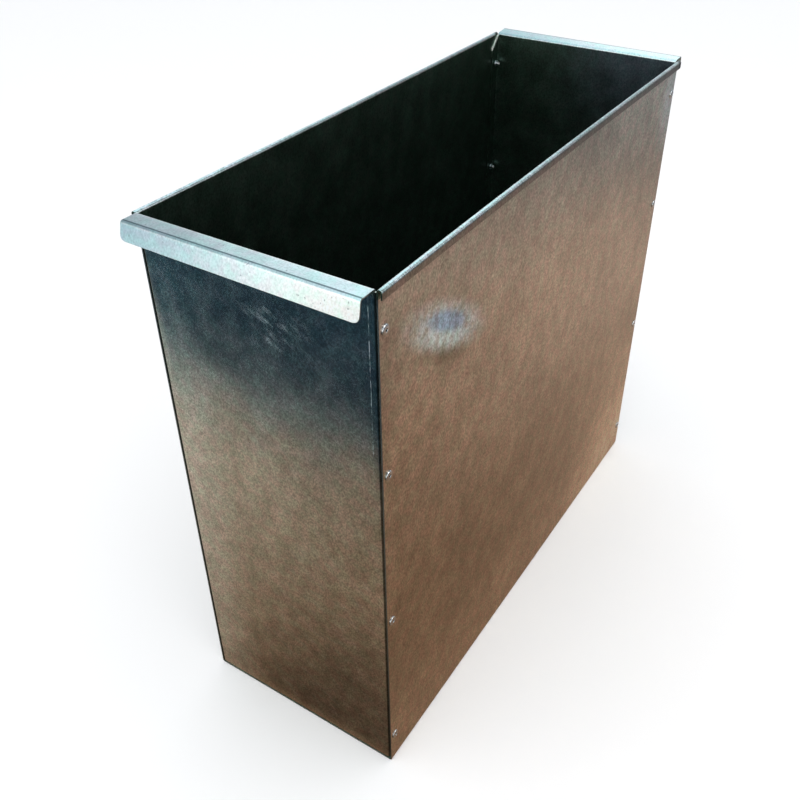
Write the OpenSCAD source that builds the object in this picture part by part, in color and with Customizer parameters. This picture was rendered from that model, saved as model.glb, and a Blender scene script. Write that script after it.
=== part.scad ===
// Deep, narrow feed box folded from galvanised sheet and closed with blind rivets.
// One sheet wraps round as long side, floor and long side. Two end panels fit between
// the long sides, and each one's top folds outward into a hook with a turned-down lip.
// X runs across the box, Y along it and Z up. The origin is on the floor, under the middle.

/* [Box] */
// Outside width across the two long sides
box_w = 200; // [150:5:300]
// Outside length between the outer faces of the end panels
box_l = 525; // [350:5:800]
// Height from the floor to the rim
box_h = 484; // [400:2:600]

/* [Sheet] */
// Thickness of the galvanised sheet
sheet_t = 1.2; // [0.8:0.1:1.5]
// Inside radius of the folds
bend_r = 1.0; // [0.6:0.1:1.4]

/* [Rim hems] */
// Inside radius of the open hem along the top of each long side
hem_r = 0.95; // [0.6:0.05:1.5]
// Height of the hem, from the rim down to its raw edge
hem_h = 7; // [6:0.5:14]

/* [Hooks] */
// Amount by which a hook stops short of the box's side, at each end
hook_inset = 2; // [2:0.5:20]
// Distance from the end panel's outer face to the outermost point of the lip's fold
hook_reach = 15; // [12:0.5:40]
// Length of the turned-down lip's flat part, from its fold to its raw edge
lip_l = 13; // [10:0.5:35]
// Angle by which the lip stops short of upright, so that it opens downward
lip_lean = 12; // [0:1:30]
// Radius of the lip's two lower corners
lip_corner_r = 4.5; // [2:0.5:8]

/* [End panel flanges] */
// Width of the flanges that lie inside the long sides
flange_w = 13; // [12:0.5:20]
// Relief between the hook's upper fold and the top of a side flange
flange_relief = 0.5; // [0.3:0.1:4]
// Width of the flange that lies on the floor
floor_flange_w = 14; // [10:0.5:25]
// Clearance between one sheet and the next
fit_gap = 0.05; // [0.02:0.01:0.15]

/* [Rivets] */
// Diameter of a rivet's shank
rivet_d = 4.0; // [3.2:0.4:4.8]
// Clearance on the diameter of each rivet hole
hole_clearance = 0.1; // [0.1:0.05:0.3]
// Diameter of a rivet's domed head
head_d = 8.0; // [6.5:0.5:9.5]
// Height of a rivet's domed head
head_h = 1.3; // [0.9:0.1:1.8]
// Distance from the box's end to the centre of each row of rivets
rivet_inset = 6.5; // [6.5:0.5:7.5]
// Height of the lowest rivet above the floor
rivet_low = 33; // [20:1:60]
// Distance between the three lower rivets of a row
rivet_pitch = 151; // [100:1:160]
// Distance from the rim down to the top rivet
rivet_top = 31; // [24:1:40]

/* [Hidden] */
$fn = 64;
mitre_angle = 45;
square_fold = 90;
fold_r = bend_r + sheet_t;
hem_fold_r = hem_r + sheet_t;
side_x = box_w / 2;
end_y = box_l / 2;
panel_x = side_x - sheet_t - fit_gap;
hook_x = side_x - hook_inset;
panel_z = sheet_t + fit_gap;
hook_z = box_h - fold_r;
flange_top = hook_z - flange_relief;
grip = 2 * sheet_t + fit_gap;
hole_d = rivet_d + hole_clearance;
core_d = 0.55 * rivet_d;
stem_d = core_d - 2 * fit_gap;
mandrel_head_d = 0.85 * rivet_d;
bulb_r = 0.36 * rivet_d;
bulb_top = grip + fit_gap;
tail_l = bulb_top + rivet_d;
mandrel_top = head_h / 2;
dome_r = (head_d * head_d / 4 + head_h * head_h) / (2 * head_h);
rivet_zs = [rivet_low, rivet_low + rivet_pitch, rivet_low + 2 * rivet_pitch, box_h - rivet_top];
zinc = [0.62, 0.60, 0.57];
zinc_bright = [0.72, 0.75, 0.77];
rivet_metal = [0.80, 0.80, 0.80];
steel = [0.45, 0.45, 0.46];

// A fold in section, from +X round towards +Y about the origin, over 45 to 90 degrees.
module fold_section(inner_r, turn = square_fold) {
    outer_r = inner_r + sheet_t;
    reach = 2 * outer_r;
    intersection() {
        difference() {
            circle(r = outer_r);
            circle(r = inner_r);
        }
        polygon([[0, 0], [reach, 0], [reach, reach], [reach * cos(turn) / sin(turn), reach]]);
    }
}

// Section of one long side with half of the floor and the hem at its top.
module side_section() {
    square([side_x - fold_r, sheet_t]);
    translate([side_x - fold_r, fold_r])
        rotate(-90)
            fold_section(bend_r);
    translate([side_x - sheet_t, fold_r])
        square([sheet_t, box_h - hem_fold_r - fold_r]);
    translate([side_x + hem_r, box_h - hem_fold_r]) {
        fold_section(hem_r);
        rotate(90)
            fold_section(hem_r);
    }
    translate([side_x + 2 * hem_r, box_h - hem_h])
        square([sheet_t, hem_h - hem_fold_r]);
}

// Cylinders through the long sides at every rivet position, for the holes.
module rivet_holes() {
    for (side = [-1, 1], end = [-1, 1], z = rivet_zs)
        translate([side * side_x, end * (end_y - rivet_inset), z])
            rotate([0, 90, 0])
                cylinder(d = hole_d, h = 4 * grip, center = true);
}

// Long side, floor and long side in one sheet, hemmed outward along both rims.
module body_wrap() {
    color(zinc)
        difference() {
            translate([0, end_y, 0])
                rotate([90, 0, 0])
                    linear_extrude(height = box_l) {
                        side_section();
                        mirror([1, 0]) side_section();
                    }
            rivet_holes();
        }
}

// Plan of the end panel's flat wall, its two folds and its two side flanges.
module end_plan() {
    translate([-(panel_x - fold_r), 0])
        square([2 * (panel_x - fold_r), sheet_t]);
    for (side = [0, 1])
        mirror([side, 0]) {
            translate([panel_x - fold_r, fold_r])
                rotate(-90)
                    fold_section(bend_r);
            translate([panel_x - sheet_t, fold_r])
                square([sheet_t, flange_w - fold_r]);
        }
}

// The wall with its side flanges, whose tops slope down from the wall.
module end_wall() {
    difference() {
        translate([0, 0, panel_z + fold_r])
            linear_extrude(height = flange_top - panel_z - fold_r)
                end_plan();
        translate([0, fold_r, flange_top])
            rotate([-mitre_angle, 0, 0])
                translate([-side_x, -sheet_t, 0])
                    cube([box_w, 4 * flange_w, 2 * flange_w]);
    }
}

// Section, across the box's end, of the floor flange and its fold.
module floor_flange_section() {
    translate([fold_r, panel_z + fold_r])
        rotate(180)
            fold_section(bend_r);
    translate([fold_r, panel_z])
        square([floor_flange_w - fold_r, sheet_t]);
}

// Section, across the box's end, of the hook's upper fold and shelf.
module shelf_section() {
    translate([0, flange_top])
        square([sheet_t, flange_relief]);
    translate([-bend_r, hook_z])
        fold_section(bend_r);
    translate([fold_r - hook_reach, box_h - sheet_t])
        square([hook_reach - fold_r - bend_r, sheet_t]);
}

// Section of the lip and its fold, about the fold's axis, with the lip along -Y.
module lip_section() {
    fold_section(bend_r, square_fold - lip_lean);
    translate([bend_r, -lip_l])
        square([sheet_t, lip_l]);
}

// Stretches a section drawn in (Y, Z) along X, centred.
module along_x(length) {
    rotate([90, 0, 90])
        linear_extrude(height = length, center = true)
            children();
}

// The waste cut from the lip to round its lower corner at X = hook_x.
module lip_corner_waste() {
    r = lip_corner_r;
    translate([hook_x - r, 0, r - lip_l])
        rotate([90, 0, 0])
            linear_extrude(height = 4 * fold_r, center = true)
                difference() {
                    translate([0, -2 * r])
                        square([2 * r, 2 * r]);
                    circle(r = r);
                }
}

// The lip and its fold, about the fold's axis, with the lip hanging straight down at -Y.
module lip() {
    difference() {
        along_x(2 * hook_x)
            mirror([1, 0])
                lip_section();
        for (side = [0, 1])
            mirror([side, 0, 0])
                lip_corner_waste();
    }
}

// An end panel with its outer face at Y = 0 and the box on the +Y side.
module end_panel_blank() {
    end_wall();
    along_x(2 * (panel_x - fold_r))
        floor_flange_section();
    along_x(2 * hook_x)
        shelf_section();
    translate([0, fold_r - hook_reach, hook_z])
        rotate([-lip_lean, 0, 0])
            lip();
}

module end_panel(end) {
    difference() {
        rotate(end > 0 ? 180 : 0)
            translate([0, -end_y, 0])
                end_panel_blank();
        rivet_holes();
    }
}

module front_end_panel() {
    color(zinc_bright) end_panel(-1);
}

module back_end_panel() {
    color(zinc_bright) end_panel(1);
}

// A set blind rivet along Z: domed head above Z = 0, bulb under the two sheets.
module rivet_body() {
    difference() {
        union() {
            intersection() {
                translate([0, 0, head_h - dome_r])
                    sphere(r = dome_r);
                cylinder(d = 2 * head_d, h = 2 * head_h);
            }
            translate([0, 0, -tail_l])
                cylinder(d = rivet_d, h = tail_l + head_h / 2);
            translate([0, 0, -bulb_top - bulb_r])
                rotate_extrude()
                    translate([rivet_d / 2, 0])
                        intersection() {
                            circle(r = bulb_r);
                            translate([-bulb_r / 2, -bulb_r])
                                square(2 * bulb_r);
                        }
        }
        cylinder(d = core_d, h = 4 * tail_l, center = true);
    }
}

// The stub of the pulled mandrel: a stem in the rivet's core and its head under the tail.
module rivet_mandrel() {
    translate([0, 0, -tail_l])
        cylinder(d = stem_d, h = tail_l + mandrel_top);
    translate([0, 0, -tail_l])
        intersection() {
            sphere(d = mandrel_head_d);
            translate([0, 0, -rivet_d])
                cylinder(d = rivet_d, h = rivet_d);
        }
}

// Puts a copy of its child at each height of one corner's row, its +Z pointing outward.
module rivet_row(side, end) {
    for (z = rivet_zs)
        translate([side * side_x, end * (end_y - rivet_inset), z])
            rotate([0, side * 90, 0])
                children();
}

module rivets(side, end) {
    color(rivet_metal) rivet_row(side, end) rivet_body();
}

module mandrels(side, end) {
    color(steel) rivet_row(side, end) rivet_mandrel();
}

body_wrap();
front_end_panel();
back_end_panel();
rivets(-1, -1);  // front_left_rivets
rivets(1, -1);  // front_right_rivets
rivets(-1, 1);  // back_left_rivets
rivets(1, 1);  // back_right_rivets
mandrels(-1, -1);  // front_left_mandrels
mandrels(1, -1);  // front_right_mandrels
mandrels(-1, 1);  // back_left_mandrels
mandrels(1, 1);  // back_right_mandrels
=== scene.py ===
"""Looks of the trough feeder: a deep, narrow box of galvanised sheet, riveted at its corners,
with a turned-down hook lip at each end.

Everything is in metres in the CAD frame: X across the box, Y along it to the back end panel,
Z up, with the origin on the floor under the box's middle.
"""

import math
import random

import bmesh
import bpy
import numpy as np
from mathutils import Euler, Matrix, Vector


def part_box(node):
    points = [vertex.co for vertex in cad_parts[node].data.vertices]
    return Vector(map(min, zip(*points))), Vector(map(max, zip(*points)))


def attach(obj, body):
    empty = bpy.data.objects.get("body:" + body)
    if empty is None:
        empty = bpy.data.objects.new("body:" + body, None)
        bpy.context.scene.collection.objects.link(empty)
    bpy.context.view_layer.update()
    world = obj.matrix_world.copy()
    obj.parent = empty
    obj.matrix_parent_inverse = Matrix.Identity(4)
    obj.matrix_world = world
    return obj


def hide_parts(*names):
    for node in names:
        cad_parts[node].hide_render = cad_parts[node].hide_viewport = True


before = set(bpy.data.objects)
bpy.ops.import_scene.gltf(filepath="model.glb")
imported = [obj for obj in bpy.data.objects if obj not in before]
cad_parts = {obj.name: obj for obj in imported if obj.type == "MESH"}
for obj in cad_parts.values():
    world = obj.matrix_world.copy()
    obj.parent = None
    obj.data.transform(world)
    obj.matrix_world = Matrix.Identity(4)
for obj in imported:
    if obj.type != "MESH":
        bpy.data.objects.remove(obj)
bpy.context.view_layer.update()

MM = 0.001
SHEET_T = 1.2 * MM
FOLD_R = 1.6 * MM  # a fold's radius at the middle of the sheet
HEM_FOLD_R = 1.55 * MM  # the same for a hem
FOLD_OUTER_R = FOLD_R + SHEET_T / 2
HEM_OUTER_R = HEM_FOLD_R + SHEET_T / 2
HEM_H = 7 * MM
FIT_GAP = 0.05 * MM

BOX_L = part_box("body_wrap")[1].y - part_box("body_wrap")[0].y
BOX_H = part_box("body_wrap")[1].z
SIDE_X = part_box("body_wrap")[1].x - 2 * HEM_FOLD_R
END_Y = BOX_L / 2
PANEL_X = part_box("front_end_panel")[1].x
PANEL_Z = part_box("front_end_panel")[0].z

HOOK_X = 98 * MM  # half of the hook's width
HOOK_REACH = 15 * MM
HOOK_Z = BOX_H - FOLD_OUTER_R
LIP_L = 13 * MM
LIP_LEAN = 12  # degrees short of upright
LIP_CORNER_R = 4.5 * MM
FLANGE_W = 13 * MM
FLANGE_RELIEF = 0.5 * MM
FLANGE_TOP = HOOK_Z - FLANGE_RELIEF
FLOOR_FLANGE_W = 14 * MM

RIVET_D = 4 * MM
HEAD_D = 8 * MM
HEAD_H = 1.3 * MM
CORE_D = 2.2 * MM
GRIP = 2 * SHEET_T + FIT_GAP
TAIL_L = GRIP + FIT_GAP + RIVET_D
RIVET_INSET = 6.5 * MM
RIVET_ZS = [33 * MM, 184 * MM, 335 * MM, BOX_H - 31 * MM]
TEAR = 0.05 * MM  # roughness of a snapped mandrel's top

RIGHT_BOW, LEFT_BOW = 1.6 * MM, 1.5 * MM  # how far each rim bows in at its middle
WAVE = 0.5 * MM  # height of the gentle waves over each wall
DENT_AT = (-177 * MM, 416 * MM)  # along the right side and up it
DENT_TURN = math.radians(-27)
DENT_SIZE = (46 * MM, 18 * MM)
DENT_DEPTH = 1.2 * MM

STEP = 6 * MM  # spacing of the grid lines on flat sheet
FOLD_STEPS = 6  # steps in a right-angled fold

OUTSIDE, INSIDE, EDGE = 0, 1, 2  # a sheet's material slots


# ---------------------------------------------------------------- folded sheet


def fold_path(start, heading, runs):
    """The mid-line of a folded sheet in section, drawn like a pen stroke.

    heading is in degrees. runs holds ("flat", length, step) and ("fold", degrees, radius), where
    a positive angle turns left. Returns the points, the unit directions to the left of the
    stroke, and the index at which each run ends.
    """
    point = np.array(start, float)
    angle = math.radians(heading)
    points, lefts, ends = [point], [angle + math.pi / 2], []
    for kind, amount, size in runs:
        if kind == "flat":
            steps = max(1, round(amount / size))
            along = np.array([math.cos(angle), math.sin(angle)])
            for k in range(1, steps + 1):
                points.append(point + along * amount * k / steps)
                lefts.append(angle + math.pi / 2)
        else:
            turn = math.radians(amount)
            steps = max(2, round(abs(amount) / 90 * FOLD_STEPS))
            side = math.copysign(1, amount)
            to_centre = angle + side * math.pi / 2
            centre = point + size * np.array([math.cos(to_centre), math.sin(to_centre)])
            for k in range(1, steps + 1):
                a = to_centre + math.pi + turn * k / steps
                points.append(centre + size * np.array([math.cos(a), math.sin(a)]))
                lefts.append(angle + turn * k / steps + math.pi / 2)
            angle += turn
        point = points[-1]
        ends.append(len(points) - 1)
    lefts = np.array(lefts)
    return np.array(points), np.stack([np.cos(lefts), np.sin(lefts)], axis=1), ends


def make_piece(name, vertices, faces, slots):
    """A smooth-shaded object whose faces all point outward, with a material slot per face."""
    mesh = bpy.data.meshes.new(name)
    mesh.from_pydata(vertices, [], faces)
    mesh.polygons.foreach_set("material_index", slots)
    mesh.polygons.foreach_set("use_smooth", [True] * len(faces))
    work = bmesh.new()
    work.from_mesh(mesh)
    bmesh.ops.recalc_face_normals(work, faces=work.faces)
    work.to_mesh(mesh)
    work.free()
    piece = bpy.data.objects.new(name, mesh)
    bpy.context.scene.collection.objects.link(piece)
    return piece


def thicken(name, points, normals, cells, skin_slots):
    """A sheet as a closed mesh: a skin on each side of a grid of mid-sheet points, and a raw
    edge wherever the skins end. cells says which squares of the grid are there. skin_slots holds
    the material slot of each square's front, back and raw edge. The normals point from the
    front skin."""
    rows, cols = points.shape[:2]
    used = np.zeros((rows, cols), bool)
    for dj, di in ((0, 0), (0, 1), (1, 0), (1, 1)):
        used[dj : rows - 1 + dj, di : cols - 1 + di] |= cells
    index = np.full((rows, cols), -1)
    index[used] = np.arange(used.sum())
    count = int(used.sum())
    outer = points[used] + normals[used] * SHEET_T / 2
    inner = points[used] - normals[used] * SHEET_T / 2

    front_slots, back_slots, edge_slots = skin_slots
    faces, slots, edge_uses = [], [], {}
    for j, i in np.argwhere(cells):
        quad = [index[j, i], index[j, i + 1], index[j + 1, i + 1], index[j + 1, i]]
        faces.append(quad)
        faces.append([count + q for q in reversed(quad)])
        slots += [front_slots[j, i], back_slots[j, i]]
        for a, b in zip(quad, quad[1:] + quad[:1]):
            edge_uses.setdefault((min(a, b), max(a, b)), []).append((a, b, edge_slots[j, i]))
    for uses in edge_uses.values():
        if len(uses) == 1:
            a, b, slot = uses[0]
            faces.append([b, a, count + a, count + b])
            slots.append(slot)
    faces = [[int(v) for v in f] for f in faces]
    return make_piece(name, np.vstack([outer, inner]).tolist(), faces, slots)


def swell(a, b):
    """0 at both ends of a span and 1 in its middle, for a position from -1 to 1 in each."""
    return np.clip(1 - a * a, 0, 1) * np.clip(1 - b * b, 0, 1)


def ripple(y, z, seed):
    """The sum of seven gentle waves over a panel, mostly between -1 and 1."""
    rng = random.Random(seed)
    total = np.zeros(np.broadcast(y, z).shape)
    for _ in range(7):
        ky, kz = rng.uniform(-11, 11), rng.uniform(-11, 11)
        total = total + rng.uniform(0.4, 1) * np.sin(ky * y + kz * z + rng.uniform(0, 2 * math.pi))
    return total / 4


def dent(y, z):
    """The smooth oval dip in the right side, 1 deep at its centre."""
    along, above = y - DENT_AT[0], z - DENT_AT[1]
    major = along * math.cos(DENT_TURN) + above * math.sin(DENT_TURN)
    minor = above * math.cos(DENT_TURN) - along * math.sin(DENT_TURN)
    return np.exp(-2 * ((major / DENT_SIZE[0]) ** 2 + (minor / DENT_SIZE[1]) ** 2))


def build_body_wrap():
    """Long side, floor and long side in one sheet, hemmed outward along both rims."""
    skirt_x = SIDE_X - SHEET_T / 2 + 2 * HEM_FOLD_R
    points, lefts, ends = fold_path(
        (-skirt_x, BOX_H - HEM_H),
        90,
        [
            ("flat", HEM_H - HEM_OUTER_R, 2 * MM),
            ("fold", -180, HEM_FOLD_R),
            ("flat", HEM_H - HEM_OUTER_R, 2 * MM),
            ("flat", BOX_H - HEM_H - FOLD_OUTER_R, STEP),
            ("fold", 90, FOLD_R),
            ("flat", 2 * (SIDE_X - FOLD_OUTER_R), STEP),
            ("fold", 90, FOLD_R),
            ("flat", BOX_H - HEM_H - FOLD_OUTER_R, STEP),
            ("flat", HEM_H - HEM_OUTER_R, 2 * MM),
            ("fold", -180, HEM_FOLD_R),
            ("flat", HEM_H - HEM_OUTER_R, 2 * MM),
        ],
    )
    ys = np.linspace(-END_Y, END_Y, round(BOX_L / STEP) + 1)
    x, z = points[:, 0], points[:, 1]
    grid = np.zeros((len(ys), len(points), 3))
    grid[:, :, 0] = x
    grid[:, :, 1] = ys[:, None]
    grid[:, :, 2] = z
    normals = np.zeros_like(grid)
    normals[:, :, 0] = -lefts[:, 0]
    normals[:, :, 2] = -lefts[:, 1]

    along = (ys / END_Y)[:, None]
    height = np.clip(z / BOX_H, 0, 1)[None, :]
    bow = np.clip(1 - along**2, 0, 1) * height**2
    for side, depth, seed in ((1, RIGHT_BOW, 3), (-1, LEFT_BOW, 8)):
        wall = (side * x > SIDE_X / 2)[None, :]
        waves = ripple(grid[:, :, 1], grid[:, :, 2], seed)
        push = bow * depth + swell(along, 2 * height - 1) * waves * WAVE
        if side > 0:
            push = push + DENT_DEPTH * dent(grid[:, :, 1], grid[:, :, 2])
        grid[:, :, 0] -= side * np.where(wall, push, 0)
    cells = np.ones((len(ys) - 1, len(points) - 1), bool)
    hollow = np.zeros_like(cells)  # the hems, and the wall behind them
    hollow[:, : ends[2]] = True
    hollow[:, ends[7] :] = True
    rims = np.zeros_like(cells)
    rims[:, : ends[1]] = True
    rims[:, ends[8] :] = True
    # The hems' hidden faces and raw edges take the dark inside material as painted shade.
    fronts = np.where(hollow, INSIDE, OUTSIDE)
    backs = np.where(rims, OUTSIDE, INSIDE)
    edges = np.where(hollow, INSIDE, EDGE)
    return thicken("body_wrap_sheet", grid, normals, cells, (fronts, backs, edges))


def end_panel_paths():
    """An end panel's two sections: across its wall from flange to flange, and up it from the
    floor flange, over the wall and the hook's shelf, to the lip's raw edge."""
    across = fold_path(
        (SHEET_T / 2 - PANEL_X, FLANGE_W),
        -90,
        [
            ("flat", FLANGE_W - FOLD_OUTER_R, 2.5 * MM),
            ("fold", 90, FOLD_R),
            ("flat", 2 * (PANEL_X - FOLD_OUTER_R), STEP),
            ("fold", 90, FOLD_R),
            ("flat", FLANGE_W - FOLD_OUTER_R, 2.5 * MM),
        ],
    )
    up = fold_path(
        (FLOOR_FLANGE_W, PANEL_Z + SHEET_T / 2),
        180,
        [
            ("flat", FLOOR_FLANGE_W - FOLD_OUTER_R, 3 * MM),
            ("fold", -90, FOLD_R),
            ("flat", FLANGE_TOP - PANEL_Z - FOLD_OUTER_R, STEP),
            ("flat", FLANGE_RELIEF, STEP),
            ("fold", 90, FOLD_R),
            ("flat", HOOK_REACH - FOLD_OUTER_R - FOLD_R + SHEET_T / 2, 3 * MM),
            ("fold", 90 - LIP_LEAN, FOLD_R),
            ("flat", LIP_L, 0.75 * MM),
        ],
    )
    return across, up


def span(first, last, count):
    """Which of count grid lines lie from the first to the last."""
    return (np.arange(count) >= first) & (np.arange(count) <= last)


def lip_rounding(from_fold):
    """How far the lip's rounded corner draws its side in, at a distance from the lip's fold."""
    to_edge = np.clip(LIP_L - from_fold, 0, LIP_CORNER_R)
    return LIP_CORNER_R - np.sqrt(LIP_CORNER_R**2 - (LIP_CORNER_R - to_edge) ** 2)


def between(ends, share):
    """A value that changes evenly from one end's to the other's."""
    return ends[0] + (ends[1] - ends[0]) * share


def vary_hook(grid, normals, up, shelf_row, lip_row, leans, lip_lengths, lifts):
    """Gives a hook the small faults of hand work, in place: a real lip isn't folded quite alike
    at its two ends, nor is the shelf quite level."""
    share = (grid[:, :, 0] / HOOK_X + 1) / 2
    lean = np.radians(between(leans, share) - LIP_LEAN)
    stretch = between(lip_lengths, share) / LIP_L
    lip = slice(lip_row + 1, len(up))
    root = up[lip_row]
    reach_y = (grid[lip, :, 1] - root[0]) * stretch[lip]
    reach_z = (grid[lip, :, 2] - root[1]) * stretch[lip]
    cos, sin = np.cos(lean[lip]), np.sin(lean[lip])
    grid[lip, :, 1] = root[0] + reach_y * cos + reach_z * sin
    grid[lip, :, 2] = root[1] - reach_y * sin + reach_z * cos
    turned_y = normals[lip, :, 1] * cos + normals[lip, :, 2] * sin
    turned_z = -normals[lip, :, 1] * sin + normals[lip, :, 2] * cos
    normals[lip, :, 1], normals[lip, :, 2] = turned_y, turned_z
    tip = between(lifts, share) / HOOK_REACH
    hook = slice(shelf_row, len(up))
    grid[hook, :, 2] += tip[hook] * (up[shelf_row, 0] - grid[hook, :, 1])


def build_end_panel(name, end, leans, lip_lengths, lifts, seed):
    """An end panel: a wall with a flange folded in along each side and along the floor, and a
    hook folded out at its top. end is -1 for the front and 1 for the back. leans, lip_lengths
    and lifts give the lip's lean, its length and how far the shelf tips up, in degrees and
    metres, at the panel's left and right ends as one faces it from outside."""
    (across, across_left, across_ends), (up, up_left, up_ends) = end_panel_paths()
    rows, cols = len(up), len(across)
    wall_start, wall_end, lip_row = up_ends[1], up_ends[2], up_ends[6]
    in_rows = span(wall_start, wall_end, rows)
    in_cols = span(across_ends[1], across_ends[2], cols)

    grid = np.zeros((rows, cols, 3))
    normals = np.zeros_like(grid)
    grid[:, :, 0] = across[:, 0]
    grid[:, :, 1] = np.where(in_rows[:, None], across[:, 1], up[:, 0][:, None])
    grid[:, :, 2] = up[:, 1][:, None]
    normals[in_rows, :, :2] = -across_left
    normals[~in_rows, :, 1] = up_left[~in_rows, 0][:, None]
    normals[~in_rows, :, 2] = up_left[~in_rows, 1][:, None]

    # the side flanges' tops slope down at 45 degrees from the wall
    low = up[wall_start, 1]
    drop = np.clip(across[:, 1] - FOLD_OUTER_R, 0, None)
    share = (FLANGE_TOP - drop - low) / (FLANGE_TOP - low)
    grid[in_rows, :, 2] = low + (grid[in_rows, :, 2] - low) * share

    # the hook is a little wider than the wall's flat part, and its lip has rounded corners
    wall_x = PANEL_X - FOLD_OUTER_R
    half_width = np.full(rows, wall_x)
    half_width[wall_end + 1 :] = HOOK_X
    from_fold = np.linalg.norm(up - up[lip_row], axis=1)
    half_width[lip_row + 1 :] -= lip_rounding(from_fold[lip_row + 1 :])
    grid[:, :, 0] *= (half_width / wall_x)[:, None]
    vary_hook(grid, normals, up, up_ends[4], lip_row, leans, lip_lengths, lifts)

    # the wall is never quite flat
    u, v = grid[:, :, 0] / wall_x, 2 * (grid[:, :, 2] - low) / (FLANGE_TOP - low) - 1
    waves = ripple(grid[:, :, 0], grid[:, :, 2], seed)
    flat = in_rows[:, None] & in_cols[None, :]
    grid[:, :, 1] += np.where(flat, swell(u, v) * waves * WAVE, 0)

    # into place: the outer face at the box's end
    grid[:, :, 1] -= END_Y
    if end > 0:
        grid[:, :, :2] *= -1
        normals[:, :, :2] *= -1
    wall_cells = (in_rows[:-1] & in_rows[1:])[:, None]
    middle_cells = (in_cols[:-1] & in_cols[1:])[None, :]
    cells = wall_cells | middle_cells
    hook_top = np.zeros_like(cells)
    hook_top[up_ends[3] :] = True
    fronts = np.full(cells.shape, OUTSIDE)
    backs = np.where(hook_top, OUTSIDE, INSIDE)
    edges = np.where(cells & ~middle_cells, INSIDE, EDGE)
    return thicken(name, grid, normals, cells, (fronts, backs, edges))


# ---------------------------------------------------------------- rivets


def lathe(profile, segments):
    """The surface swept by a closed profile of (radius, height) points turned about Z, as
    (vertices, faces)."""
    vertices, rings = [], []
    for r, z in profile:
        if r < 1e-7:
            rings.append([len(vertices)])
            vertices.append((0, 0, z))
            continue
        rings.append([len(vertices) + k for k in range(segments)])
        turns = [2 * math.pi * k / segments for k in range(segments)]
        vertices += [(r * math.cos(a), r * math.sin(a), z) for a in turns]
    faces = []
    for a, b in zip(rings, rings[1:] + rings[:1]):
        if len(a) == 1 and len(b) == 1:
            continue
        for k in range(segments):
            n = (k + 1) % segments
            if len(a) == 1:
                faces.append([a[0], b[k], b[n]])
            elif len(b) == 1:
                faces.append([a[k], a[n], b[0]])
            else:
                faces.append([a[k], a[n], b[n], b[k]])
    return vertices, faces


def arc(centre, radii, start, end, steps):
    """Points along part of an ellipse, from one angle to another in degrees."""
    (cx, cy), (rx, ry) = centre, radii
    angles = [math.radians(start + (end - start) * k / steps) for k in range(steps + 1)]
    return [(cx + rx * math.cos(a), cy + ry * math.sin(a)) for a in angles]


def rivet_profile():
    """A set blind rivet: domed head above Z = 0, bulbed tail below, and an open core."""
    core, shank, head = CORE_D / 2, RIVET_D / 2, HEAD_D / 2
    bulb = 0.36 * RIVET_D
    brim = 0.32 * MM
    rounding = 0.3 * MM  # radius of the edge round the core
    bulb_z = -GRIP - bulb
    return (
        [(shank, 0), (head - 0.12 * MM, 0), (head, 0.1 * MM), (head, brim)]
        + arc((core + rounding, brim), (head - core - rounding, HEAD_H - brim), 6, 90, 12)
        + arc((core + rounding, HEAD_H - rounding), (rounding, rounding), 105, 180, 4)
        + [(core, -TAIL_L + 0.2 * MM), (core + 0.15 * MM, -TAIL_L), (shank - 0.3 * MM, -TAIL_L)]
        + [(shank - 0.05 * MM, -TAIL_L + 0.25 * MM)]
        + arc((shank, bulb_z), (bulb, bulb), -80, 80, 12)
        + [(shank, -GRIP + 0.02 * MM)]
    )


def mandrel_profile():
    """The stub of a pulled mandrel: a torn top sunk in the head, and a ball end under the tail."""
    stem, ball = CORE_D / 2 - FIT_GAP, 1.7 * MM
    top = 0.55 * HEAD_H
    return (
        [(0, top - 0.12 * MM), (0.45 * stem, top + 0.1 * MM), (0.8 * stem, top)]
        + [(stem, top - 0.18 * MM), (stem, -TAIL_L)]
        + arc((0, -TAIL_L), (ball, ball), 0, -90, 10)
    )


def build_rivet_row(name, profile, segments, side, end, tear):
    """Four rivets, or their four mandrel stubs, up one corner of the box. side is 1 for the
    right and -1 for the left, end is 1 for the back and -1 for the front, and tear roughens what
    is outside the sheet."""
    rng = random.Random(f"{side}{end}")
    vertices, faces = [], []
    own_vertices, own_faces = lathe(profile, segments)
    for z in RIVET_ZS:
        spin = Matrix.Rotation(rng.uniform(0, 2 * math.pi), 4, "Z")
        tilt = Euler((rng.uniform(-0.03, 0.03), rng.uniform(-0.03, 0.03), 0)).to_matrix().to_4x4()
        at = Vector((side * SIDE_X, end * (END_Y - RIVET_INSET), z))
        place = Matrix.Translation(at) @ Matrix.Rotation(side * math.pi / 2, 4, "Y") @ tilt @ spin
        base = len(vertices)
        for co in own_vertices:
            rough = rng.uniform(-tear, tear) if co[2] > 0 else 0
            vertices.append(place @ Vector((co[0], co[1], co[2] + rough)))
        faces += [[base + v for v in f] for f in own_faces]
    return make_piece(name, vertices, faces, [0] * len(faces))


# ---------------------------------------------------------------- materials


def rgb(r, g, b):
    """An sRGB colour, 0 to 255, as linear RGBA."""
    linear = [((c / 255 + 0.055) / 1.055) ** 2.4 if c > 10 else c / 255 / 12.92 for c in (r, g, b)]
    return (*linear, 1.0)


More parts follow.
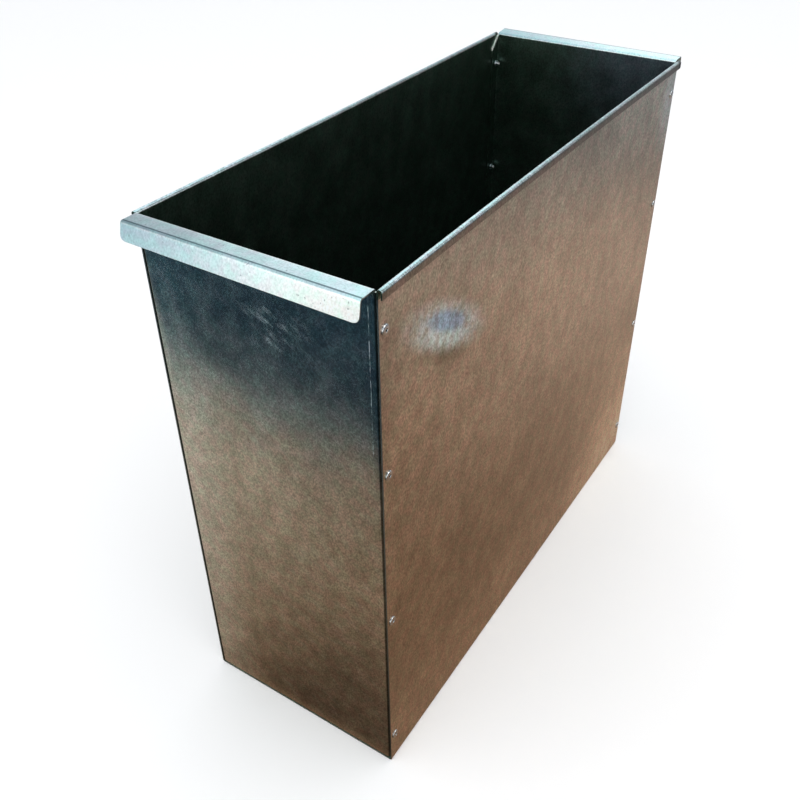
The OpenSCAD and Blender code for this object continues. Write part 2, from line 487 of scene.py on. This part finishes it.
class Look:
    """A material or world under construction. The methods add nodes, and all that make a value
    return its socket. x, y and z are a place in metres, or a direction in the world."""

    def __init__(self, owner, coordinates="Object"):
        owner.use_nodes = True
        self.owner = owner
        self.tree = owner.node_tree
        self.place = self.add("ShaderNodeTexCoord").outputs[coordinates]
        split = self.add("ShaderNodeSeparateXYZ")
        self.feed(split.inputs[0], self.place)
        self.x, self.y, self.z = split.outputs

    def add(self, kind, **settings):
        made = self.tree.nodes.new(kind)
        for key, value in settings.items():
            setattr(made, key, value)
        return made

    def feed(self, socket, value):
        if isinstance(value, bpy.types.NodeSocket):
            self.tree.links.new(value, socket)
        else:
            socket.default_value = value

    def surface(self, name, value):
        self.feed(self.tree.nodes["Principled BSDF"].inputs[name], value)

    def maths(self, operation, a, b=0.0):
        made = self.add("ShaderNodeMath", operation=operation)
        self.feed(made.inputs[0], a)
        self.feed(made.inputs[1], b)
        return made.outputs[0]

    def times(self, a, b):
        return self.maths("MULTIPLY", a, b)

    def unsigned(self, value):
        """A number without its sign."""
        return self.maths("ABSOLUTE", value)

    def gap(self, value, target):
        """How far a value is from a target, either way."""
        return self.unsigned(self.maths("SUBTRACT", value, target))

    def remap(self, value, low, high, to_low=0.0, to_high=1.0):
        """value from low..high to to_low..to_high, eased and clamped."""
        made = self.add("ShaderNodeMapRange", interpolation_type="SMOOTHSTEP")
        self.feed(made.inputs["Value"], value)
        made.inputs["From Min"].default_value = low
        made.inputs["From Max"].default_value = high
        made.inputs["To Min"].default_value = to_low
        made.inputs["To Max"].default_value = to_high
        return made.outputs["Result"]

    def stretched(self, stretch, turn, seed):
        """The place, turned and squeezed so that a texture's features grow along each axis."""
        made = self.add("ShaderNodeMapping", vector_type="TEXTURE")
        self.feed(made.inputs["Vector"], self.place)
        made.inputs["Location"].default_value = (seed, seed, seed)
        made.inputs["Rotation"].default_value = turn
        made.inputs["Scale"].default_value = stretch
        return made.outputs[0]

    def noise(self, size, detail=2.0, stretch=(1, 1, 1), turn=(0, 0, 0), seed=0.0):
        """Noise about 0.5 with features of that size in metres."""
        grain = self.add("ShaderNodeTexNoise")
        self.feed(grain.inputs["Vector"], self.stretched(stretch, turn, seed))
        grain.inputs["Scale"].default_value = 1 / size
        grain.inputs["Detail"].default_value = detail
        return grain.outputs["Fac"]

    def crystals(self, size, stretch=(1, 1, 1), turn=(0, 0, 0)):
        """A random value from 0 to 1 for each cell of a mosaic."""
        cells = self.add("ShaderNodeTexVoronoi")
        self.feed(cells.inputs["Vector"], self.stretched(stretch, turn, 0))
        cells.inputs["Scale"].default_value = 1 / size
        split = self.add("ShaderNodeSeparateXYZ")
        self.feed(split.inputs[0], cells.outputs["Color"])
        return split.outputs[0]

    def spot(self, centre, radii, soft=1.0, turn=(0, 0, 0)):
        """1 at a centre, easing to 0 at the surface of an ellipsoid."""
        made = self.add("ShaderNodeMapping", vector_type="TEXTURE")
        self.feed(made.inputs["Vector"], self.place)
        made.inputs["Location"].default_value = centre
        made.inputs["Rotation"].default_value = turn
        made.inputs["Scale"].default_value = radii
        length = self.add("ShaderNodeVectorMath", operation="LENGTH")
        self.feed(length.inputs[0], made.outputs[0])
        return self.remap(length.outputs["Value"], 1.0, 1.0 - soft)

    def near(self, value, target, half_width):
        """1 where value is at the target, falling to 0 at half_width from it."""
        return self.remap(self.gap(value, target), half_width, 0.4 * half_width)

    def mix(self, amount, a, b, blend="MIX"):
        made = self.add("ShaderNodeMix", data_type="RGBA", blend_type=blend)
        self.feed(made.inputs["Factor"], amount)
        self.feed(made.inputs[6], a)
        self.feed(made.inputs[7], b)
        return made.outputs[2]

    def shade(self, colour, value):
        """A colour times a brightness."""
        made = self.add("ShaderNodeVectorMath", operation="SCALE")
        self.feed(made.inputs[0], colour)
        self.feed(made.inputs["Scale"], value)
        return made.outputs[0]

    def bump(self, height, distance):
        made = self.add("ShaderNodeBump")
        made.inputs["Distance"].default_value = distance
        self.feed(made.inputs["Height"], height)
        return made.outputs[0]


GRAIN_TURN = (math.radians(-14), math.radians(14), 0)  # the grain leans off upright


def zinc_coat(look, colour, metallic, contrast, polish=0.0):
    """Gives a look the texture of hot-dip zinc: a fine elongated grain over small crystals and
    cloudy blotches, with streaks and a slight play of hue. colour is its tint at each place,
    contrast is the strength of its texture, and polish is what is taken off its roughness."""
    grain = look.noise(1.4 * MM, 3.0, stretch=(1, 1, 1.4), turn=GRAIN_TURN)
    crystal = look.crystals(3.2 * MM, stretch=(1, 1, 1.8), turn=GRAIN_TURN)
    blotch = look.noise(16 * MM, 3.0, stretch=(1, 1, 1.4), turn=GRAIN_TURN, seed=2.3)
    cloud = look.noise(70 * MM, 2.0, seed=5.7)
    hue = look.noise(9 * MM, 3.0, seed=8.1)
    streak = look.noise(2.6 * MM, 3.0, stretch=(1, 1, 22), turn=GRAIN_TURN, seed=1.9)
    play = look.mix(look.remap(hue, 0.35, 0.65), (1.06, 0.96, 0.93, 1), (0.96, 1.03, 0.94, 1))
    colour = look.mix(1.0, colour, play, "MULTIPLY")
    light = look.remap(grain, 0.25, 0.75, 0.72, 1.26)
    light = look.times(light, look.remap(crystal, 0, 1, 0.94, 1.06))
    light = look.times(light, look.remap(blotch, 0.3, 0.7, 0.9, 1.09))
    light = look.times(light, look.remap(cloud, 0.3, 0.7, 0.94, 1.06))
    light = look.times(light, look.remap(streak, 0.55, 0.8, 1, 1.08))
    change = look.times(look.maths("SUBTRACT", light, 1.0), contrast)
    look.surface("Base Color", look.shade(colour, look.maths("ADD", 1.0, change)))
    look.surface("Metallic", metallic)
    rough = look.remap(blotch, 0.3, 0.7, 0.285, 0.335)
    look.surface("Roughness", look.maths("SUBTRACT", rough, polish))
    look.surface("Normal", look.bump(grain, 0.02 * MM))


def side_look():
    """The outside of the long sides: a painted warm reflection, painted reflections and shade at
    the dent, and hems with a painted highlight on top and darker skirts."""
    look = Look(bpy.data.materials.new("zinc_long_sides"))
    # Painted reflection of a warm tabletop, changing with height, with a lighter painted patch at
    # mid-height towards the back.
    warm = look.mix(look.remap(look.z, 0.02, 0.11), (0.60, 0.51, 0.44, 1), (0.47, 0.40, 0.335, 1))
    warm = look.mix(look.remap(look.z, 0.17, 0.30), warm, (0.575, 0.505, 0.445, 1))
    warm = look.mix(look.remap(look.z, 0.36, 0.46), warm, (0.51, 0.475, 0.435, 1))
    painted_lighter_patch = look.remap(look.gap(look.z, 0.29), 0.05, 0.26, 0, 0.65)
    painted_lighter_patch = look.times(painted_lighter_patch, look.remap(look.y, 0.06, 0.22))
    warm = look.shade(warm, look.maths("ADD", 1.0, painted_lighter_patch))
    # Painted reflection: a bluer, lighter patch at the far top corner.
    corner = look.spot((SIDE_X, END_Y - 8 * MM, 0.44), (0.1, 0.035, 0.06))
    warm = look.mix(look.times(corner, 0.7), warm, (1.0, 1.05, 1.1, 1))

    # The dent: a painted bluish reflection in its middle with a paler ring round it, a painted
    # highlight to its lower left and painted shade below it.
    turn = (DENT_TURN, 0, 0)
    along, up = DENT_AT
    middle = look.spot((SIDE_X, along, up + 1 * MM), (0.1, 0.038, 0.011), 0.6, turn)
    ring = look.spot((SIDE_X, along - 2 * MM, up - 2 * MM), (0.1, 0.078, 0.025), 0.7, turn)
    patchy = look.remap(look.noise(7 * MM, 3.0, seed=7.7), 0.35, 0.55, 0.4, 1.0)
    ring = look.times(ring, patchy)
    glint = look.spot((SIDE_X, along - 8 * MM, up - 8 * MM), (0.1, 0.054, 0.013), 0.9, turn)
    dent_shade = look.spot((SIDE_X, along - 4 * MM, up - 23 * MM), (0.1, 0.05, 0.012), 1.0, turn)
    colour = look.mix(look.times(dent_shade, 0.65), warm, (0.20, 0.20, 0.14, 1))
    colour = look.mix(ring, colour, (0.42, 0.46, 0.48, 1))
    colour = look.mix(look.times(glint, 0.8), colour, (0.60, 0.72, 0.74, 1))
    colour = look.mix(look.times(middle, 0.9), colour, (0.27, 0.38, 0.54, 1))

    skirt = look.remap(look.z, BOX_H - HEM_H - 0.5 * MM, BOX_H - HEM_H)
    colour = look.mix(skirt, colour, (0.27, 0.235, 0.22, 1))
    # Painted highlight along the top of each hem's fold, with a bluish grey painted band just below
    # it, both dimmer towards the back.
    far = look.remap(look.y, -0.2, 0.08)
    shoulder = look.mix(far, (0.36, 0.42, 0.46, 1), (0.22, 0.24, 0.25, 1))
    colour = look.mix(look.remap(look.z, BOX_H - 2.0 * MM, BOX_H - 1.5 * MM), colour, shoulder)
    rim = look.mix(far, (0.86, 0.93, 0.95, 1), (0.40, 0.44, 0.46, 1))
    colour = look.mix(look.remap(look.z, BOX_H - 0.9 * MM, BOX_H - 0.25 * MM), colour, rim)
    # Painted shade: the skirt turns nearly black over its last few millimetres at the back end.
    hem_end = look.remap(look.y, END_Y - 7 * MM, END_Y - 4 * MM, 0, 0.9)
    hem_end = look.times(skirt, hem_end)
    colour = look.mix(hem_end, colour, (0.03, 0.03, 0.03, 1))
    metallic = look.maths("SUBTRACT", 1.0, look.times(ring, 0.45))
    zinc_coat(look, colour, metallic, 1.2)
    return look.owner


def end_look():
    """The outside of the end panels: a painted dark cool reflection at the top of the wall, a
    painted warm reflection below, and a hook painted bright as a reflection, with a painted dark
    line along its fold."""
    look = Look(bpy.data.materials.new("zinc_ends"))
    # Painted reflection of a warm tabletop with painted shade towards the floor, lighter towards
    # the left; above it a painted dark cool reflection with the shade under the hook.
    warm = look.mix(look.remap(look.z, 0.0, 0.25), (0.45, 0.38, 0.31, 1), (0.60, 0.56, 0.50, 1))
    warm = look.mix(look.remap(look.x, -0.04, -0.09), warm, (0.72, 0.70, 0.66, 1))
    wander = look.noise(40 * MM, 3.0, seed=4.4)
    height = look.maths("ADD", look.z, look.remap(wander, 0.3, 0.7, -0.012, 0.012))
    cool = look.mix(look.remap(look.x, -0.09, -0.02), (0.64, 0.77, 0.80, 1), (0.36, 0.44, 0.48, 1))
    band = look.remap(height, 0.300, 0.382)
    wall = look.mix(band, warm, cool)
    wisps = look.noise(4 * MM, 4.0, stretch=(3, 1, 1), turn=(0, math.radians(32), 0), seed=6.2)
    smudge = look.spot((0.015, -END_Y, 0.429), (0.038, 0.1, 0.026), 0.9)
    smudge = look.maths("ADD", smudge, 0.12)
    smudge = look.times(smudge, look.remap(wisps, 0.45, 0.75, 0, 0.5))
    # A pale broken line down the wall near the right corner, strongest towards the top; with the
    # smudges it also takes a little off the metallic.
    pale_line = look.near(look.x, 0.0925, 0.5 * MM)
    broken = look.remap(look.noise(4 * MM, 2.0, seed=9.2), 0.42, 0.6, 0.15, 1)
    pale_line = look.times(pale_line, broken)
    pale_line = look.times(pale_line, look.remap(look.z, 0.30, 0.42, 0.05, 0.7))
    smudges_and_line = look.maths("MAXIMUM", pale_line, smudge)
    wall = look.mix(smudges_and_line, wall, (0.62, 0.78, 0.86, 1))
    # Dirt and painted shade darken the groove where the panel's fold meets the long side.
    seam = look.remap(look.unsigned(look.x), PANEL_X - 2.3 * MM, PANEL_X - 1.4 * MM, 0, 0.85)
    wall = look.mix(seam, wall, (0.03, 0.04, 0.035, 1))

    out = look.maths("SUBTRACT", look.unsigned(look.y), END_Y)
    bend = look.remap(look.z, FLANGE_TOP + 0.6 * MM, FLANGE_TOP + 1.2 * MM)
    hook = look.maths("MAXIMUM", look.remap(out, 1 * MM, 3 * MM), bend)
    # Painted reflection: the hook is painted bright, brighter towards the right, with a painted
    # dark line along the shelf's fold.
    bright = look.mix(look.remap(look.x, -0.1, 0.08), (0.53, 0.58, 0.61, 1), (0.90, 0.95, 0.95, 1))
    shelf = look.remap(look.z, BOX_H - 0.5 * MM, BOX_H - 0.2 * MM, 0, 0.85)
    line = look.times(look.near(out, 12.6 * MM, 1.0 * MM), shelf)
    bright = look.mix(line, bright, (0.12, 0.15, 0.17, 1))
    specks = look.remap(look.noise(2.4 * MM, 1.0, seed=3.3), 0.71, 0.76, 0, 0.6)
    bright = look.mix(specks, bright, (0.25, 0.27, 0.28, 1))
    colour = look.mix(hook, wall, bright)
    metallic = look.maths("SUBTRACT", 1.0, look.times(smudges_and_line, 0.4))
    polish = look.times(band, look.remap(hook, 0, 1, 0.11, 0))
    zinc_coat(look, colour, metallic, look.remap(hook, 0, 1, 1.2, 0.5), polish)
    return look.owner


def inside_look():
    """The inside of the box: zinc painted dark as shade, apart from a painted highlight on the raw
    tops of the side flanges."""
    look = Look(bpy.data.materials.new("zinc_inside"))
    # Painted shade: the inside is painted dark and a little green, with a painted bluish reflection
    # high up near the back end, towards the right.
    back = look.times(look.remap(look.y, 0.2, END_Y), look.remap(look.x, -0.05, 0.06))
    back = look.times(back, look.remap(look.z, 0.36, 0.46))
    colour = look.mix(look.remap(look.z, 0.3, 0.45), (0.18, 0.26, 0.225, 1), (0.13, 0.20, 0.165, 1))
    colour = look.mix(back, colour, (0.20, 0.25, 0.31, 1))
    # Painted highlight along the sloping raw tops of the side flanges.
    slope = look.maths("SUBTRACT", look.z, look.unsigned(look.y))
    flange_top_highlight = look.near(slope, FLANGE_TOP - END_Y + FOLD_OUTER_R - 1.2 * MM, 2 * MM)
    in_flange = look.near(look.unsigned(look.x), PANEL_X - SHEET_T / 2, 1 * MM)
    flange_top_highlight = look.times(flange_top_highlight, in_flange)
    beyond = look.remap(look.unsigned(look.y), END_Y - FLANGE_W - 1 * MM, END_Y - FLANGE_W)
    flange_top_highlight = look.times(flange_top_highlight, beyond)
    colour = look.mix(flange_top_highlight, colour, (0.95, 1.0, 1.0, 1))
    zinc_coat(look, colour, look.maths("SUBTRACT", 0.978, flange_top_highlight), 1.0)
    return look.owner


def plain_metal(name, colour, dark, roughness):
    """Metal with a fine grain between two colours."""
    look = Look(bpy.data.materials.new(name))
    look.surface("Metallic", 1.0)
    grain = look.noise(0.5 * MM, 3.0)
    look.surface("Base Color", look.mix(look.remap(grain, 0.35, 0.7), colour, dark))
    look.surface("Roughness", look.remap(grain, 0.2, 0.8, roughness - 0.06, roughness + 0.08))
    look.surface("Normal", look.bump(grain, 0.02 * MM))
    return look.owner


def stub_look():
    """Mandrel steel: painted dark as shade where it sits in the rivet's head, and painted bright as
    a highlight on the ball inside the box.
    """
    look = Look(bpy.data.materials.new("mandrel_steel"))
    grain = look.noise(0.5 * MM, 3.0)
    # Painted shade on the stub sunk in the rivet's head, and a painted highlight on the ball inside
    # the box.
    outward = look.remap(look.unsigned(look.x), SIDE_X - 3 * MM, SIDE_X)
    ball = look.mix(grain, rgb(225, 225, 222), rgb(150, 150, 148))
    look.surface("Base Color", look.mix(outward, ball, rgb(52, 50, 48)))
    look.surface("Metallic", look.remap(outward, 0, 1, 0.6, 1))
    look.surface("Roughness", look.remap(grain, 0.2, 0.8, 0.3, 0.42))
    look.surface("Normal", look.bump(grain, 0.02 * MM))
    return look.owner


side_zinc, end_zinc, inside_zinc = side_look(), end_look(), inside_look()
cut_edge = plain_metal("cut_edge", rgb(150, 160, 162), rgb(100, 106, 108), 0.32)
rivet_metal = plain_metal("rivet_aluminium", rgb(226, 228, 230), rgb(170, 172, 174), 0.25)
mandrel_metal = stub_look()


def dress(piece, slot_name, materials, *nodes):
    for material in materials:
        piece.data.materials.append(material)
    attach(piece, "root")
    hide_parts(*nodes)


def soften_edges(piece):
    """Rounds the raw edges slightly."""
    bevel = piece.modifiers.new("raw_edges", "BEVEL")
    bevel.width = 0.2 * MM
    bevel.segments = 2
    bevel.limit_method = "ANGLE"
    bevel.angle_limit = math.radians(50)
    bevel.harden_normals = True


wrap = build_body_wrap()
front = build_end_panel(
    "front_end_sheet",
    end=-1,
    leans=(14, 9.6),
    lip_lengths=(11.9 * MM, 14.2 * MM),
    lifts=(0, 0),
    seed=5,
)
back = build_end_panel(
    "back_end_sheet",
    end=1,
    leans=(10, 14),
    lip_lengths=(LIP_L, LIP_L),
    lifts=(0.3 * MM, 1.6 * MM),
    seed=11,
)
for piece, node, skin in (
    (wrap, "body_wrap", side_zinc),
    (front, "front_end_panel", end_zinc),
    (back, "back_end_panel", end_zinc),
):
    soften_edges(piece)
    dress(piece, "galvanised_sheet", [skin, inside_zinc, cut_edge], node)

for end, end_name in ((-1, "front"), (1, "back")):
    for side, side_name in ((-1, "left"), (1, "right")):
        corner = f"{end_name}_{side_name}"
        rivets = build_rivet_row(f"{corner}_rivet_row", rivet_profile(), 40, side, end, 0)
        dress(rivets, "rivet_aluminium", [rivet_metal], f"{corner}_rivets")
        stubs = build_rivet_row(f"{corner}_mandrel_row", mandrel_profile(), 24, side, end, TEAR)
        dress(stubs, "mandrel_steel", [mandrel_metal], f"{corner}_mandrels")

# ---------------------------------------------------------------- stage, light and camera


def add_plane(name, size, z, material):
    bpy.ops.mesh.primitive_plane_add(size=size, location=(0, 0, z))
    plane = bpy.context.object
    plane.name = name
    plane.data.materials.append(material)
    return plane


paper = Look(bpy.data.materials.new("paper"))
paper.surface("Base Color", (0.95, 0.95, 0.95, 1))
paper.surface("Roughness", 0.9)
floor = add_plane("floor", 40, -0.5 * MM, paper.owner)
floor.visible_glossy = False

# The zinc mirrors a brown tabletop and a dark room beyond it, which the camera doesn't see.
card = Look(bpy.data.materials.new("mirrored_room"))
past_x = card.maths("MAXIMUM", card.maths("SUBTRACT", card.unsigned(card.x), SIDE_X), 0)
past_y = card.maths("MAXIMUM", card.maths("SUBTRACT", card.unsigned(card.y), END_Y), 0)
squares = card.maths("ADD", card.maths("POWER", past_x, 2), card.maths("POWER", past_y, 2))
away = card.maths("SQRT", squares)
wood = card.mix(card.remap(card.y, -0.15, 0.8), (0.29, 0.19, 0.125, 1), (0.56, 0.43, 0.35, 1))
front_wood = card.remap(card.x, 0.0, -0.42)
front_wood = card.mix(front_wood, (0.27, 0.195, 0.135, 1), (0.53, 0.48, 0.41, 1))
wood = card.mix(card.remap(card.y, -END_Y + 0.02, -END_Y - 0.02), wood, front_wood)
wood = card.mix(card.remap(away, 0.45, 1.2), wood, (0.28, 0.27, 0.27, 1))
wood = card.mix(card.remap(card.y, -0.58, -0.66), wood, (0.03, 0.062, 0.085, 1))
corner_shade = card.times(card.remap(card.x, 0.5, 0.65), card.remap(card.y, -0.1, -0.3))
wood = card.mix(corner_shade, wood, (0.05, 0.06, 0.055, 1))
in_front = card.remap(card.y, -END_Y, -END_Y - 0.01)
in_front = card.times(in_front, card.remap(card.x, -0.14, 0.02, 0.1, 1.0))
shadow = card.times(in_front, card.remap(away, 0.16, 0.0, 0.0, 0.65))
wood = card.shade(wood, card.maths("SUBTRACT", 1.0, shadow))
glow = card.add("ShaderNodeEmission")
card.feed(glow.inputs["Color"], wood)
card.feed(card.tree.nodes["Material Output"].inputs["Surface"], glow.outputs[0])
mirrored = add_plane("mirrored_room", 3.4, -2 * MM, card.owner)
mirrored.visible_camera = False
mirrored.visible_diffuse = False
mirrored.visible_shadow = False

world = bpy.data.worlds.new("studio")
bpy.context.scene.world = world
sky = Look(world, "Generated")
# The zinc mirrors a bright haze low in front of the box, dusk low behind it, a bluish sky above
# and a window, which only rivets catch from the photograph's angle. To the camera, and as a light,
# the sky is plain and pale.
glare = sky.mix(sky.remap(sky.x, -0.74, -0.64), (0.62, 0.95, 1.10, 1), (0.66, 1.18, 1.48, 1))
glare = sky.mix(sky.remap(sky.x, -0.66, -0.54), glare, (1.9, 1.9, 1.85, 1))
low = sky.mix(sky.remap(sky.y, -0.3, 0.3), glare, (0.22, 0.25, 0.28, 1))
high = sky.mix(sky.remap(sky.x, -0.75, -0.4), (0.29, 0.42, 0.50, 1), (0.72, 1.02, 1.15, 1))
high = sky.mix(sky.remap(sky.x, -0.05, 0.3), high, (0.34, 0.38, 0.42, 1))
high = sky.mix(sky.remap(sky.z, 0.45, 0.3, 0, 0.7), high, (1.4, 1.45, 1.48, 1))
mirrored_sky = sky.mix(sky.remap(sky.z, -0.05, 0.2), low, high)
window = sky.spot((0.81, 0.27, 0.51), (0.22, 0.22, 0.22), 0.3)
mirrored_sky = sky.mix(window, mirrored_sky, (9.0, 9.0, 8.6, 1))
rays = sky.add("ShaderNodeLightPath")
seen = sky.mix(rays.outputs["Is Glossy Ray"], (0.97, 0.98, 1.0, 1), mirrored_sky)
sky.feed(sky.tree.nodes["Background"].inputs["Color"], seen)

bpy.ops.object.light_add(type="AREA", location=(0.6, -0.8, 2.6))
lamp = bpy.context.object
lamp.name = "softbox"
lamp.data.shape = "SQUARE"
lamp.data.size = 3.0
lamp.data.energy = 25
lamp.visible_glossy = False
lamp.rotation_euler = (-lamp.location).to_track_quat("-Z", "Y").to_euler()

bpy.context.scene.view_settings.view_transform = "Standard"

# fitted to the edges of the box in the photograph
CAMERA_AT = Vector((0.3621, -0.63765, 0.74827))
CAMERA_FORWARD = Vector((-0.44199, 0.68131, -0.58349))
CAMERA_ROLL = -0.554  # degrees
camera_data = bpy.data.cameras.new("camera")
camera_data.sensor_width = 36
camera_data.lens = 40.64
camera_data.shift_x = -0.0069
camera_data.shift_y = -0.0259
camera_data.clip_start = 0.01
camera = bpy.data.objects.new("camera", camera_data)
bpy.context.scene.collection.objects.link(camera)
camera.rotation_mode = "QUATERNION"
camera.location = CAMERA_AT
roll = Matrix.Rotation(math.radians(CAMERA_ROLL), 4, "Z").to_quaternion()
camera.rotation_quaternion = CAMERA_FORWARD.to_track_quat("-Z", "Y") @ roll
bpy.context.scene.camera = camera
